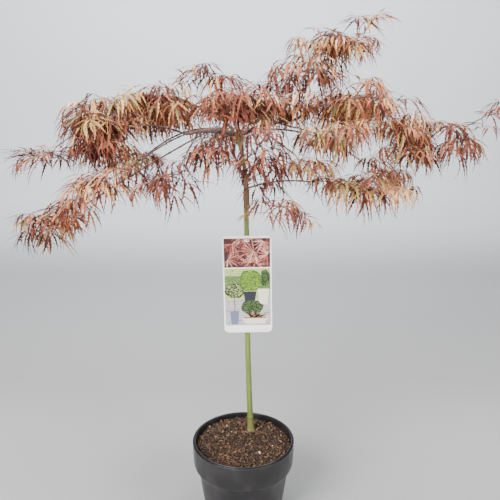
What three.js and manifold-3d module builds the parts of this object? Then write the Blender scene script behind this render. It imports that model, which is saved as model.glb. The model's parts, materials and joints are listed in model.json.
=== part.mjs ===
// A young laceleaf maple, grafted on a tall stem, in a round nursery pot.
// The frame: +Z up, the origin at the middle of the pot's flat underside, millimetres.
// Azimuths are in degrees round the crown's head, 0 along +X and 90 along +Y.
import * as THREE from "three";
import { mergeVertices } from "three/addons/utils/BufferGeometryUtils.js";
import Module from "manifold-3d";

const wasm = await Module();
wasm.setup();

// ---- Driving dimensions ----
const GAP = 0.4; // between pieces that meet
const POT_HEIGHT = 155;
const POT_TOP_RADIUS = 95;
const POT_FOOT_RADIUS = 71;
const POT_WALL = 1.8;
const POT_SIDES = 28;
const COLLAR_HEIGHT = 40; // the straight band under the rim
const SHOULDER_HEIGHT = 15; // from the band in to the body
const DRAIN_HOLES = { count: 6, radius: 5, ring: 52 };
const SOIL_TOP = 142;
const STEM_FOOT = { x: 14, y: 40 };
const HEAD = new THREE.Vector3(-8, 40, 712); // where the stem forks
const STEM_RADIUS = { foot: 5.6, below: 4.2, graft: 5.9, above: 3.5, head: 8.5 };
const GRAFT = { low: 588, high: 632 };
const LABEL = { width: 88, height: 182, thick: 1.0, corner: 8, middle: 445, lean: 1 };
const LABEL_SLOTS = { width: 4, height: 4.4, apart: 9.2, below: 9 };
const BLADE_COLOURS = { rust: 0x96513c, wine: 0x6f3630, tan: 0xa9754a };
const WINE_MASSES = [
  "left_hanging", "inner_left", "front_hanging", "left_low_tip", "back_hanging", "back_low",
];
const TAN_MASSES = [
  "top_right", "top_tip", "right_tip", "right_low", "left_tip", "upper_right", "back_right",
];
const LIMB_SIDES = 6;
const RING_SPACING = 42; // along a limb
const STATIONS = 60; // along any limb's curve
const STEM_STATIONS = [0, 1, 2, 4, 10, 20, 30, 40, 45, 47, 48, 49, 50, 51, 53, 56, 58, 59, 60];

// Each mass of leaves: where its middle lies round the head (azimuth, out), its height above the ground,
// its size along the bough, across it and in height, and how far its outer end lies below its inner end.
const MASSES = {
  left_low_tip: { azimuth: 199, out: 310, height: 572, long: 124, wide: 84, deep: 88, drop: 58 },
  left_tip: { azimuth: 183, out: 332, height: 671, long: 108, wide: 78, deep: 66, drop: 10 },
  left_outer: { azimuth: 196, out: 225, height: 724, long: 112, wide: 104, deep: 134, drop: 18 },
  left_upper: { azimuth: 164, out: 150, height: 752, long: 150, wide: 110, deep: 98, drop: 6 },
  left_lower: { azimuth: 211, out: 234, height: 632, long: 132, wide: 86, deep: 76, drop: 30 },
  left_hanging: { azimuth: 238, out: 176, height: 640, long: 74, wide: 82, deep: 80, drop: 8 },
  inner_left: { azimuth: 248, out: 106, height: 684, long: 58, wide: 58, deep: 88, drop: 8 },
  upper_left: { azimuth: 127, out: 92, height: 810, long: 124, wide: 48, deep: 54, drop: -4, heading: 176 },
  middle_front: { azimuth: 274, out: 62, height: 755, long: 78, wide: 144, deep: 104, drop: 0 },
  middle_right: { azimuth: 341, out: 88, height: 752, long: 94, wide: 68, deep: 80, drop: 0 },
  front_hanging: { azimuth: 285, out: 149, height: 675, long: 64, wide: 62, deep: 124, drop: 18 },
  front_low_tip: { azimuth: 288, out: 200, height: 600, long: 76, wide: 82, deep: 60, drop: 10 },
  upper_right: { azimuth: 0, out: 113, height: 802, long: 132, wide: 88, deep: 64, drop: -10 },
  top_right: { azimuth: 7, out: 161, height: 850, long: 156, wide: 86, deep: 68, drop: -16 },
  top_tip: { azimuth: 10, out: 228, height: 890, long: 74, wide: 54, deep: 44, drop: -8 },
  right_arch: { azimuth: 349, out: 204, height: 757, long: 108, wide: 102, deep: 112, drop: 12 },
  right_shoulder: { azimuth: 356, out: 286, height: 706, long: 90, wide: 88, deep: 146, drop: 22 },
  right_outer: { azimuth: 357, out: 360, height: 703, long: 104, wide: 82, deep: 88, drop: 32 },
  right_tip: { azimuth: 0, out: 440, height: 742, long: 66, wide: 46, deep: 76, drop: -8 },
  right_middle: { azimuth: 319, out: 196, height: 704, long: 112, wide: 100, deep: 68, drop: 8 },
  right_inner: { azimuth: 328, out: 134, height: 664, long: 96, wide: 66, deep: 48, drop: 0 },
  right_low: { azimuth: 341, out: 216, height: 621, long: 184, wide: 92, deep: 78, drop: 2 },
  back_left: { azimuth: 135, out: 236, height: 752, long: 140, wide: 118, deep: 76, drop: 22 },
  back_middle: { azimuth: 90, out: 222, height: 766, long: 104, wide: 164, deep: 74, drop: 20 },
  back_right: { azimuth: 42, out: 270, height: 752, long: 136, wide: 118, deep: 80, drop: 24 },
  back_hanging: { azimuth: 101, out: 214, height: 690, long: 74, wide: 88, deep: 74, drop: 8 },
  back_outer_left: { azimuth: 152, out: 312, height: 718, long: 104, wide: 96, deep: 92, drop: 24 },
  back_outer_right: { azimuth: 22, out: 352, height: 706, long: 104, wide: 92, deep: 92, drop: 26 },
  back_low_left: { azimuth: 148, out: 250, height: 644, long: 96, wide: 92, deep: 76, drop: 20 },
  back_low_right: { azimuth: 24, out: 300, height: 632, long: 112, wide: 92, deep: 78, drop: 20 },
  back_low: { azimuth: 47, out: 250, height: 686, long: 84, wide: 90, deep: 56, drop: 8 },
};

// The two thick limbs leave the head, left and right, and end in a fork that the boughs grow from.
const LIMBS = {
  limb_left: { azimuth: 182, reach: 90, lift: 1, arch: 6, thick: 4.4, thin: 2.8 },
  limb_right: { azimuth: 359, reach: 104, lift: 27, arch: 3, thick: 4.4, thin: 2.8 },
};

// Each bough runs from a limb's share, the head, the graft or another mass to the mass that it ends in.
const BOUGHS = {
  left_low_tip: { from: "limb_left", share: 0.55, arch: 4, thick: 1.5, thin: 1.0 },
  left_outer: { from: "limb_left", share: 1, arch: 10, thick: 1.7, thin: 1.2 },
  left_upper: { from: "limb_left", share: 0.9, arch: 10, thick: 1.7, thin: 1.3 },
  left_lower: { from: "limb_left", share: 1, arch: 8, thick: 1.5, thin: 1.0 },
  left_tip: { from: "left_outer", arch: 12, thick: 1.1, thin: 0.9 },
  left_hanging: { from: "limb_left", share: 0.7, arch: 10, thick: 1.1, thin: 0.9 },
  inner_left: { from: "limb_left", share: 0.38, arch: 10, thick: 1.4, thin: 1.1 },
  upper_left: { from: "head", arch: 12, thick: 1.6, thin: 1.1 },
  middle_front: { from: "head", arch: 10, thick: 1.9, thin: 1.6 },
  front_hanging: { from: "head", arch: 34, thick: 1.6, thin: 1.1 },
  upper_right: { from: "limb_right", share: 0.92, arch: 4, thick: 1.9, thin: 1.6 },
  right_arch: { from: "limb_right", share: 1, arch: 16, thick: 1.8, thin: 1.3 },
  right_tip: { from: "right_outer", arch: 12, thick: 1.1, thin: 0.8 },
  right_middle: { from: "limb_right", share: 0.45, arch: 8, thick: 1.5, thin: 1.1 },
  right_inner: { from: "limb_right", share: 0.3, arch: 4, thick: 1.3, thin: 1.0 },
  right_low: { from: "graft", arch: 16, thick: 1.5, thin: 1.1 },
  back_left: { from: "head", arch: 30, thick: 2.2, thin: 1.4 },
  back_middle: { from: "head", arch: 26, thick: 2.2, thin: 1.4 },
  back_right: { from: "limb_right", share: 0.96, arch: 16, thick: 2.0, thin: 1.3 },
  back_hanging: { from: "head", arch: 20, thick: 1.5, thin: 1.1 },
  back_low_left: { from: "head", arch: 34, thick: 1.7, thin: 1.1 },
  back_low_right: { from: "head", arch: 36, thick: 1.7, thin: 1.1 },
};

// ---- Solids ----
const solidOf = (geometry) => {
  const bare = geometry.clone();
  bare.deleteAttribute("normal");
  bare.deleteAttribute("uv");
  const merged = mergeVertices(bare, 1e-3);
  return new wasm.Manifold(
    new wasm.Mesh({
      numProp: 3,
      vertProperties: merged.attributes.position.array,
      triVerts: new Uint32Array(merged.index.array),
    }),
  );
};

const geometryOf = (solid) => {
  const mesh = solid.getMesh();
  const geometry = new THREE.BufferGeometry();
  geometry.setAttribute("position", new THREE.BufferAttribute(mesh.vertProperties, 3));
  geometry.setIndex(new THREE.BufferAttribute(mesh.triVerts, 1));
  geometry.computeVertexNormals();
  return geometry;
};

const largest = (solid) => solid.decompose().sort((a, b) => b.volume() - a.volume())[0];

const movePoints = (geometry, move) => {
  const position = geometry.attributes.position;
  const point = new THREE.Vector3();
  for (let i = 0; i < position.count; i += 1) {
    move(point.fromBufferAttribute(position, i));
    position.setXYZ(i, point.x, point.y, point.z);
  }
  return geometry;
};

// The curve's stations at which a limb has its rings.
const evenStations = (curve) => {
  const rings = Math.ceil(curve.getLength() / RING_SPACING);
  return Array.from({ length: rings + 1 }, (_, i) => Math.round((i * STATIONS) / rings));
};

// A round limb along a curve: a cylinder whose rings are moved onto the curve, with a radius for each.
const limbAlong = (curve, radiusAt, sides, stations = evenStations(curve)) => {
  const frames = curve.computeFrenetFrames(STATIONS);
  const rings = stations.length - 1;
  const geometry = new THREE.CylinderGeometry(1, 1, 1, sides, rings);
  movePoints(geometry, (p) => {
    const station = stations[Math.round((p.y + 0.5) * rings)];
    const share = station / STATIONS;
    const radius = radiusAt(share);
    const { x, z } = p;
    p.copy(curve.getPointAt(share));
    p.addScaledVector(frames.binormals[station], x * radius);
    p.addScaledVector(frames.normals[station], z * radius);
  });
  return solidOf(geometry);
};

const lathe = (points, segments) => {
  const geometry = new THREE.LatheGeometry(points, segments);
  return solidOf(geometry.rotateX(Math.PI / 2));
};

// ---- Pot and soil ----
const potProfile = () => {
  const shoulderTop = POT_HEIGHT - COLLAR_HEIGHT - 3;
  const shoulderFoot = shoulderTop - SHOULDER_HEIGHT;
  const bodyRadius = POT_TOP_RADIUS - 10.5;
  const outer = [
    [0, 0],
    [POT_FOOT_RADIUS - 2, 0],
    [POT_FOOT_RADIUS, 2],
    [bodyRadius, shoulderFoot],
    [bodyRadius + 1.5, shoulderFoot + 3],
    [POT_TOP_RADIUS - 3.4, shoulderTop - 6],
    [POT_TOP_RADIUS - 1.2, shoulderTop],
    [POT_TOP_RADIUS, POT_HEIGHT - 4],
    [POT_TOP_RADIUS - 0.8, POT_HEIGHT - 2.6],
    [POT_TOP_RADIUS - 3.4, POT_HEIGHT - 2.2],
    [POT_TOP_RADIUS - 3.8, POT_HEIGHT],
  ];
  const inner = [
    [POT_TOP_RADIUS - 5.2, POT_HEIGHT],
    [POT_TOP_RADIUS - 5.8, shoulderTop],
    [bodyRadius - POT_WALL, shoulderFoot],
    [POT_FOOT_RADIUS - POT_WALL - 1, POT_WALL + 0.6],
    [0, POT_WALL + 0.6],
  ];
  return [...outer, ...inner].map(([r, z]) => new THREE.Vector2(r, z));
};

const potInnerRadius = (z) => {
  const shoulderTop = POT_HEIGHT - COLLAR_HEIGHT - 3;
  const shoulderFoot = shoulderTop - SHOULDER_HEIGHT;
  const bodyRadius = POT_TOP_RADIUS - 10.5;
  const foot = POT_FOOT_RADIUS - POT_WALL - 1;
  if (z <= shoulderFoot) return foot + ((bodyRadius - POT_WALL - foot) * z) / shoulderFoot;
  return POT_TOP_RADIUS - 5.8;
};

const potSolid = () => {
  let pot = lathe(potProfile(), POT_SIDES);
  for (let i = 0; i < DRAIN_HOLES.count; i += 1) {
    const turn = ((i + 0.5) / DRAIN_HOLES.count) * 2 * Math.PI;
    const hole = new THREE.CylinderGeometry(DRAIN_HOLES.radius, DRAIN_HOLES.radius, 12, 8);
    hole.rotateX(Math.PI / 2);
    hole.translate(DRAIN_HOLES.ring * Math.cos(turn), DRAIN_HOLES.ring * Math.sin(turn), 0);
    pot = pot.subtract(solidOf(hole));
  }
  return pot;
};

// The soil fills the pot to a little below the rim, and lies a few millimetres higher at the back.
const soilSolid = () => {
  const shoulderTop = POT_HEIGHT - COLLAR_HEIGHT - 3;
  const shoulderFoot = shoulderTop - SHOULDER_HEIGHT;
  const foot = POT_WALL + 0.6 + GAP;
  const profile = [
    [0, foot],
    [potInnerRadius(foot) - 2 * GAP, foot],
    [potInnerRadius(shoulderFoot) - 2 * GAP, shoulderFoot],
    [potInnerRadius(shoulderTop) - 2 * GAP, shoulderTop],
    [potInnerRadius(SOIL_TOP) - 2 * GAP, SOIL_TOP - 4],
    [potInnerRadius(SOIL_TOP) * 0.75, SOIL_TOP],
    [0, SOIL_TOP],
  ];
  return lathe(
    profile.map(([r, z]) => new THREE.Vector2(r, z)),
    POT_SIDES,
  );
};

// ---- Stem ----
// It leans a little left, swells at the graft and again at the head, and flares at its foot.
const stemCurve = new THREE.CatmullRomCurve3([
  new THREE.Vector3(STEM_FOOT.x, STEM_FOOT.y, SOIL_TOP + GAP),
  new THREE.Vector3(8, STEM_FOOT.y, 330),
  new THREE.Vector3(6, STEM_FOOT.y, 590),
  new THREE.Vector3(5, STEM_FOOT.y, 636),
  new THREE.Vector3(HEAD.x, HEAD.y, HEAD.z + 8),
]);

const stemRadius = (share, more = 0) => {
  const z = stemCurve.getPointAt(share).z;
  const { foot, below, graft, above, head } = STEM_RADIUS;
  const flare = 3.4 * Math.exp(-(z - SOIL_TOP) / 9);
  const bump = (at, spread) => Math.exp(-(((z - at) / spread) ** 2));
  const middle = (GRAFT.low + GRAFT.high) / 2;
  const plain = z < middle ? THREE.MathUtils.mapLinear(z, SOIL_TOP, middle, foot, below) : above;
  return plain + flare + (graft - below) * bump(middle, 17) + (head - above) * bump(HEAD.z, 13) + more;
};

const stemSolid = (more = 0) => limbAlong(stemCurve, (share) => stemRadius(share, more), 10, STEM_STATIONS);

// ---- Limbs, boughs and masses ----
const around = (azimuth, out, height) => {
  const turn = THREE.MathUtils.degToRad(azimuth);
  return new THREE.Vector3(HEAD.x + out * Math.cos(turn), HEAD.y + out * Math.sin(turn), height);
};

const archTo = (from, to, arch) => {
  const middle = from.clone().lerp(to, 0.45);
  middle.z += 2 * arch;
  return new THREE.QuadraticBezierCurve3(from, middle, to);
};

const limbCurve = (name) => {
  const { azimuth, reach, lift, arch } = LIMBS[name];
  return archTo(HEAD, around(azimuth, reach, HEAD.z + lift), arch);
};

const massMiddle = (name) => {
  const { azimuth, out, height } = MASSES[name];
  return around(azimuth, out, height);
};

const boughStart = ({ from, share }) => {
  if (from === "head") return HEAD;
  if (from === "graft") return new THREE.Vector3(6, STEM_FOOT.y, GRAFT.high - 12);
  if (from in LIMBS) return limbCurve(from).getPointAt(share);
  return massMiddle(from);
};

const taper = (thick, thin, more) => (share) => THREE.MathUtils.lerp(thick, thin, share) + more;

const limbSolid = (name, more = 0) => {
  const { thick, thin } = LIMBS[name];
  const knuckle = (share) => 1.8 * Math.exp(-(((share - 0.36) / 0.1) ** 2));
  const swell = name === "limb_left" ? knuckle : () => 0;
  const radius = taper(thick, thin, more);
  return limbAlong(limbCurve(name), (share) => radius(share) + swell(share), LIMB_SIDES);
};

// The end reaches just short of the mass's middle, and the mass then cuts it off at its surface.
const boughSolid = (name, more = 0) => {
  const bough = BOUGHS[name];
  const curve = archTo(boughStart(bough), massMiddle(name), bough.arch);
  return limbAlong(curve, taper(bough.thick, bough.thin, more), LIMB_SIDES);
};

// A lumpy body on an icosahedron, arched over its bough, with a ragged fringe below.
const massSolid = (name, more = 0) => {
  const size = MASSES[name];
  const seed = Object.keys(MASSES).indexOf(name) * 1.7 + 0.6;
  const half = new THREE.Vector3(size.long, size.wide, size.deep).multiplyScalar(0.5).addScalar(more);
  const heading = THREE.MathUtils.degToRad(size.heading ?? size.azimuth);
  const middle = massMiddle(name);
  const geometry = new THREE.IcosahedronGeometry(1, 2);
  movePoints(geometry, (p) => {
    const { x, y, z } = p;
    const turn = Math.atan2(y, x);
    const lump = 0.09 * Math.sin(3.4 * x + 2 * seed) * Math.cos(2.8 * y - seed);
    const ridge = 0.07 * Math.sin(4.4 * z + 3 * seed + 2 * x);
    const fringe = z < 0 ? -0.24 * z * Math.sin(4 * turn + seed) : 0;
    p.multiplyScalar(0.94 + lump + ridge).multiply(half);
    p.z += half.z * fringe - (size.drop / 2) * x - 0.16 * half.z * x * x;
    p.applyAxisAngle(new THREE.Vector3(0, 0, 1), heading).add(middle);
  });
  return solidOf(geometry);
};

// ---- Label and the strap it hangs by ----
const labelTop = LABEL.middle + LABEL.height / 2;
const strapHeight = labelTop - LABEL_SLOTS.below;
const stemAt = (z) => {
  const shares = Array.from({ length: 61 }, (_, i) => i / 60);
  const away = (share) => Math.abs(stemCurve.getPointAt(share).z - z);
  return stemCurve.getPointAt(shares.sort((a, b) => away(a) - away(b))[0]);
};
const strapMiddle = stemAt(strapHeight);
const labelFace = strapMiddle.y - STEM_RADIUS.below - 5; // the card's printed side

const roundedBox = (width, height, corner) => {
  const shape = new THREE.Shape();
  const [w, h] = [width / 2 - corner, height / 2 - corner];
  shape.absarc(w, h, corner, 0, Math.PI / 2);
  shape.absarc(-w, h, corner, Math.PI / 2, Math.PI);
  shape.absarc(-w, -h, corner, Math.PI, 1.5 * Math.PI);
  shape.absarc(w, -h, corner, 1.5 * Math.PI, 2 * Math.PI);
  return shape;
};

const standing = (shape, thick, curveSegments = 3) => {
  const geometry = new THREE.ExtrudeGeometry(shape, { depth: thick, bevelEnabled: false, curveSegments });
  return geometry.rotateX(Math.PI / 2).translate(0, thick, 0);
};

const labelSolid = () => {
  const card = standing(roundedBox(LABEL.width, LABEL.height, LABEL.corner), LABEL.thick);
  const slots = [-1, 1].map((side) => {
    const slot = standing(roundedBox(LABEL_SLOTS.width, LABEL_SLOTS.height, 1), 4, 1);
    slot.translate((side * LABEL_SLOTS.apart) / 2, -1.5, LABEL.height / 2 - LABEL_SLOTS.below);
    return solidOf(slot);
  });
  const solid = geometryOf(solidOf(card).subtract(slots[0]).subtract(slots[1]));
  solid.rotateY(-THREE.MathUtils.degToRad(LABEL.lean));
  solid.translate(strapMiddle.x + 1.5, labelFace, LABEL.middle);
  return solidOf(solid);
};

// A flat plastic loop that passes through the card's slot and round the stem.
const strapSolid = () => {
  const band = { thick: 0.9, tall: 2.2, half: STEM_RADIUS.below + 0.9 };
  const back = band.half + 0.4;
  const front = strapMiddle.y - labelFace + 1.6;
  const loop = (more) => {
    const shape = new THREE.Shape();
    const r = band.half + more;
    shape.absarc(0, back - band.half, r, 0, Math.PI);
    shape.absarc(0, -(front - band.half), r, Math.PI, 2 * Math.PI);
    return shape;
  };
  const shape = loop(band.thick);
  shape.holes.push(loop(0));
  const settings = { depth: band.tall, bevelEnabled: false, curveSegments: 5 };
  const geometry = new THREE.ExtrudeGeometry(shape, settings);
  geometry.translate(strapMiddle.x, strapMiddle.y, strapHeight - band.tall / 2);
  return solidOf(geometry);
};

// ---- Assembly ----
const tree = new THREE.Group();
const material = (color, roughness) => new THREE.MeshStandardMaterial({ color, roughness, metalness: 0 });
const finishes = {
  pot: material(0x3a393b, 0.45),
  soil: material(0x5a3a28, 0.95),
  stem: material(0x6f8450, 0.6),
  limb: material(0x7a5f55, 0.75),
  label: material(0xf2f2ee, 0.3),
};

const add = (name, solid, finish) => {
  const mesh = new THREE.Mesh(geometryOf(solid), finish);
  mesh.name = name;
  tree.add(mesh);
};

add("pot", potSolid(), finishes.pot);
add("soil", soilSolid(), finishes.soil);
add("stem", stemSolid(), finishes.stem);
add("label_card", labelSolid(), finishes.label);
add("label_strap", strapSolid(), finishes.label);

// Masses come first, each cut back from the wood it hangs round and from the masses before it.
const wood = Object.keys(LIMBS).map((name) => limbSolid(name, GAP));
const massNames = Object.keys(MASSES);
const bladeColour = (name) => {
  if (WINE_MASSES.includes(name)) return BLADE_COLOURS.wine;
  return TAN_MASSES.includes(name) ? BLADE_COLOURS.tan : BLADE_COLOURS.rust;
};
const taken = [stemSolid(GAP), ...wood];
massNames.forEach((name) => {
  const free = taken.reduce((solid, other) => solid.subtract(other), massSolid(name));
  add(`leaves_${name}`, largest(free), material(bladeColour(name), 0.7));
  taken.push(massSolid(name, GAP));
});

// Then the wood: each piece is cut by the stem, by the limbs before it and by every mass.
const cutters = [stemSolid(GAP), ...massNames.map((name) => massSolid(name, GAP))];
const addWood = (name, make) => {
  const free = cutters.reduce((solid, other) => solid.subtract(other), make(0));
  add(name, largest(free), finishes.limb);
  cutters.push(make(GAP));
};
Object.keys(LIMBS).forEach((name) => addWood(name, (more) => limbSolid(name, more)));
Object.keys(BOUGHS).forEach((name) => addWood(`bough_${name}`, (more) => boughSolid(name, more)));

export default tree;
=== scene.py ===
import json
import math
import random

import bmesh
import bpy
import numpy as np
from mathutils import Matrix, Quaternion, Vector, noise
from mathutils.bvhtree import BVHTree

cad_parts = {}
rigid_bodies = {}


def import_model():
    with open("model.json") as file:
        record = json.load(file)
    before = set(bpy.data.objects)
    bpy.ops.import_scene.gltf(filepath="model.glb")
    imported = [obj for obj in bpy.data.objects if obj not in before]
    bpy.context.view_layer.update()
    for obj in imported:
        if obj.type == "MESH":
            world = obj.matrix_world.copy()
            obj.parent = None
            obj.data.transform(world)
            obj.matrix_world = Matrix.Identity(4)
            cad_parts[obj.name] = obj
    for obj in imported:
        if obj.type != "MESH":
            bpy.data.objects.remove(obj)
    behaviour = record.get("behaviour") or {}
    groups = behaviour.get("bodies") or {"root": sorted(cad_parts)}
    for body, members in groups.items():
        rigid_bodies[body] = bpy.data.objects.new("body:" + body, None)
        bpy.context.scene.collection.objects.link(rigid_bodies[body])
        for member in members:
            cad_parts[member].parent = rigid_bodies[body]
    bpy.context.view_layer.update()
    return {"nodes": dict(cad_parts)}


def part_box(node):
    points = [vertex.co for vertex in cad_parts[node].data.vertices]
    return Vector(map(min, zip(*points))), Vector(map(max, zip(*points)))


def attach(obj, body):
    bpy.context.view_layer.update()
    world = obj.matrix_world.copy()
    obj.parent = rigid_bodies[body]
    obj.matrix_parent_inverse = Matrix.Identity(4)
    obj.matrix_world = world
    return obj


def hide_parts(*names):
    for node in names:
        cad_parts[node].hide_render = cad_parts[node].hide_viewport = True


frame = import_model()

scene = bpy.context.scene
nodes = frame["nodes"]
up = Vector((0, 0, 1))
mm = 0.001


def linear(red, green, blue):
    # a colour given as 0..255 screen values, turned into the shader's linear ones
    def channel(value):
        value /= 255
        return value / 12.92 if value <= 0.04045 else ((value + 0.055) / 1.055) ** 2.4
    return (channel(red), channel(green), channel(blue), 1)


def plainMaterial(name, color, roughness, **sockets):
    material = bpy.data.materials.new(name)
    material.use_nodes = True
    shader = material.node_tree.nodes["Principled BSDF"]
    shader.inputs["Base Color"].default_value = linear(*color)
    shader.inputs["Roughness"].default_value = roughness
    for socket, value in sockets.items():
        shader.inputs[socket.replace("_", " ")].default_value = value
    return material


def fill(tree, socket, value):
    # a value that is another node's output is linked
    if isinstance(value, bpy.types.NodeSocket):
        tree.links.new(value, socket)
    else:
        socket.default_value = value


def add(tree, kind, **values):
    # one node, with its settings and its named sockets filled in
    node = tree.nodes.new(kind)
    for key, value in values.items():
        if hasattr(node, key):
            setattr(node, key, value)
        else:
            fill(tree, node.inputs[key.replace("_", " ")], value)
    return node


def worked(tree, kind, operation, *values):
    # the result of a maths node, with its sockets filled in their order
    node = add(tree, kind, operation=operation)
    for socket, value in zip(node.inputs, values):
        fill(tree, socket, value)
    return node.outputs[0]


def ramp(tree, source, stops):
    node = add(tree, "ShaderNodeValToRGB", Fac=source)
    elements = node.color_ramp.elements
    while len(elements) < len(stops):
        elements.new(0.5)
    for element, (place, color) in zip(elements, stops):
        element.position = place
        element.color = color
    return node.outputs["Color"]


def tints(*stops):
    # ramp stops given as (place, red, green, blue)
    return [(place, linear(*color)) for place, *color in stops]


def objectPoint(tree, scale=(1, 1, 1)):
    where = add(tree, "ShaderNodeTexCoord").outputs["Object"]
    return add(tree, "ShaderNodeMapping", Vector=where, Scale=scale).outputs["Vector"]


def noiseOn(tree, scale, detail, roughness, stretch=(1, 1, 1)):
    where = objectPoint(tree, stretch)
    node = add(tree, "ShaderNodeTexNoise", Vector=where, Scale=scale, Detail=detail, Roughness=roughness)
    return node.outputs["Fac"]


def bumpFrom(tree, height, strength, distance):
    bump = add(tree, "ShaderNodeBump", Strength=strength, Distance=distance, Height=height)
    fill(tree, tree.nodes["Principled BSDF"].inputs["Normal"], bump.outputs["Normal"])


def patchyMaterial(name, color, roughness, grain, stops, **sockets):
    # its colour wanders between the stops by a noise, which is given back with it
    material = plainMaterial(name, color, roughness, **sockets)
    tree = material.node_tree
    patches = noiseOn(tree, *grain)
    fill(tree, tree.nodes["Principled BSDF"].inputs["Base Color"], ramp(tree, patches, stops))
    return material, patches


def newPiece(name, mesh):
    piece = bpy.data.objects.new(name, mesh)
    scene.collection.objects.link(piece)
    return piece


def meshPiece(name, vertices, faces, material=None, smooth=True):
    mesh = bpy.data.meshes.new(name)
    mesh.from_pydata([tuple(v) for v in vertices], [], faces)
    mesh.update()
    if material:
        mesh.materials.append(material)
    if smooth:
        mesh.shade_smooth()
    else:
        mesh.shade_flat()
    return newPiece(name, mesh)


def circlePoints(radius, height, sides):
    turns = [2 * math.pi * k / sides for k in range(sides)]
    return [Vector((radius * math.cos(turn), radius * math.sin(turn), height)) for turn in turns]


def skinFaces(rings, sides):
    # a closed skin over one point, then rings of points, then one point;
    # it faces outwards where the rings climb and turn anticlockwise
    faces = [(0, 1 + (k + 1) % sides, 1 + k) for k in range(sides)]
    for ring in range(rings - 1):
        low, high = 1 + ring * sides, 1 + (ring + 1) * sides
        for k in range(sides):
            after = (k + 1) % sides
            faces.append((low + k, low + after, high + after, high + k))
    last = 1 + rings * sides
    faces += [(last, last - sides + k, last - sides + (k + 1) % sides) for k in range(sides)]
    return faces


def geometryTree(name, sizes):
    # an empty Geometry Nodes tree with named inputs, {name: (socket type, value)}
    tree = bpy.data.node_groups.new(name, "GeometryNodeTree")
    tree.interface.new_socket("Geometry", in_out="INPUT", socket_type="NodeSocketGeometry")
    for label, (kind, value) in sizes.items():
        socket = tree.interface.new_socket(label, in_out="INPUT", socket_type=kind)
        if value is not None:
            socket.default_value = value
    tree.interface.new_socket("Geometry", in_out="OUTPUT", socket_type="NodeSocketGeometry")
    return tree, tree.nodes.new("NodeGroupInput"), tree.nodes.new("NodeGroupOutput")


def grown(name, source, tree, values):
    # runs the tree on a source object and keeps the result as a plain mesh piece
    modifier = source.modifiers.new(name, "NODES")
    modifier.node_group = tree
    for item in tree.interface.items_tree:
        if item.item_type == "SOCKET" and item.in_out == "INPUT" and item.name in values:
            modifier[item.identifier] = values[item.name]
    depsgraph = bpy.context.evaluated_depsgraph_get()
    mesh = bpy.data.meshes.new_from_object(source.evaluated_get(depsgraph))
    mesh.name = name
    source.modifiers.remove(modifier)
    bpy.data.objects.remove(source)
    return newPiece(name, mesh)


# Camera, light and floor.
view = {
    "place": (0.0124, -0.900, 0.7327),
    "pitch": 13.42,  # degrees down from level
    "lens": 38.6,
    "paper": (228, 229, 230),
    "sky": (226, 230, 236),
    "ambient": 0.33,
}
camera = bpy.data.objects.new("camera", bpy.data.cameras.new("camera"))
camera.data.sensor_width = 36
camera.data.lens = view["lens"]
camera.location = view["place"]
camera.rotation_euler = (math.radians(90 - view["pitch"]), 0, 0)
scene.collection.objects.link(camera)
scene.camera = camera


def softLight(name, place, target, size, power):
    lamp = bpy.data.lights.new(name, "AREA")
    lamp.shape = "RECTANGLE"
    lamp.size, lamp.size_y = size
    lamp.energy = power
    light = bpy.data.objects.new(name, lamp)
    light.location = place
    light.rotation_euler = (Vector(target) - Vector(place)).to_track_quat("-Z", "Y").to_euler()
    scene.collection.objects.link(light)


lights = {  # place, what it points at, size in metres and power in watts
    "lightLeft": ((-1.35, -1.7, 1.7), (0, 0, 0.5), (1.3, 1.6), 186),
    "lightRight": ((1.8, -1.2, 1.4), (0, 0, 0.5), (1.0, 1.6), 64),
    "lightAbove": ((0.1, 0.3, 2.6), (0, 0.1, 0.4), (2.0, 1.6), 109),
}
for name, settings in lights.items():
    softLight(name, *settings)

world = bpy.data.worlds.new("studio")
world.use_nodes = True
sky = world.node_tree.nodes["Background"]
sky.inputs["Color"].default_value = linear(*view["sky"])
sky.inputs["Strength"].default_value = view["ambient"]
scene.world = world

# The floor curves up into a backdrop well behind the plant.
sweep = {
    "near": -3.5,
    "bend": 1.6,
    "curve": 0.9,
    "curveSteps": 12,
    "top": 4.0,
    "half": 5.0,
    "under": 0.0002,  # below the pot's foot
    "toneReach": 1.6,  # the painted shade and light end here
    "toneSlant": 0.08,  # how much of the way back counts as height
}
profile = [(sweep["near"], 0.0)]
for step in range(sweep["curveSteps"] + 1):
    turn = step / sweep["curveSteps"] * math.pi / 2
    profile.append((sweep["bend"] + sweep["curve"] * math.sin(turn), sweep["curve"] * (1 - math.cos(turn))))
profile.append((sweep["bend"] + sweep["curve"], sweep["top"]))
floorVertices = [(side * sweep["half"], y, z - sweep["under"]) for y, z in profile for side in (-1, 1)]
floorFaces = [(2 * i, 2 * i + 1, 2 * i + 3, 2 * i + 2) for i in range(len(profile) - 1)]
floorMaterial = plainMaterial("floorPaper", view["paper"], 0.75)
floorTree = floorMaterial.node_tree
floorPlace = add(floorTree, "ShaderNodeTexCoord").outputs["Object"]
floorApart = add(floorTree, "ShaderNodeSeparateXYZ", Vector=floorPlace).outputs
slanted = (floorApart["Y"], sweep["toneSlant"], floorApart["Z"])
floorWay = worked(floorTree, "ShaderNodeMath", "MULTIPLY_ADD", *slanted)
floorReach = add(floorTree, "ShaderNodeMapRange", From_Max=sweep["toneReach"], Value=floorWay)
# painted shade and light on the paper: darker on the floor, a painted dark band where it turns up, lighter up
# the backdrop
floorPaintedShade = ramp(floorTree, floorReach.outputs["Result"], tints(
    (0.0, 147, 147, 147), (0.012, 146, 146, 145), (0.026, 139, 139, 138), (0.045, 148, 148, 149),
    (0.093, 163, 164, 167), (0.156, 189, 191, 195), (0.2, 202, 205, 209), (0.3, 213, 216, 221),
    (0.66, 225, 228, 233), (1.0, 240, 244, 249),
))
fill(floorTree, floorTree.nodes["Principled BSDF"].inputs["Base Color"], floorPaintedShade)
floor = meshPiece("floor", floorVertices, floorFaces, floorMaterial)
print("stage: camera, light and floor")

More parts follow.
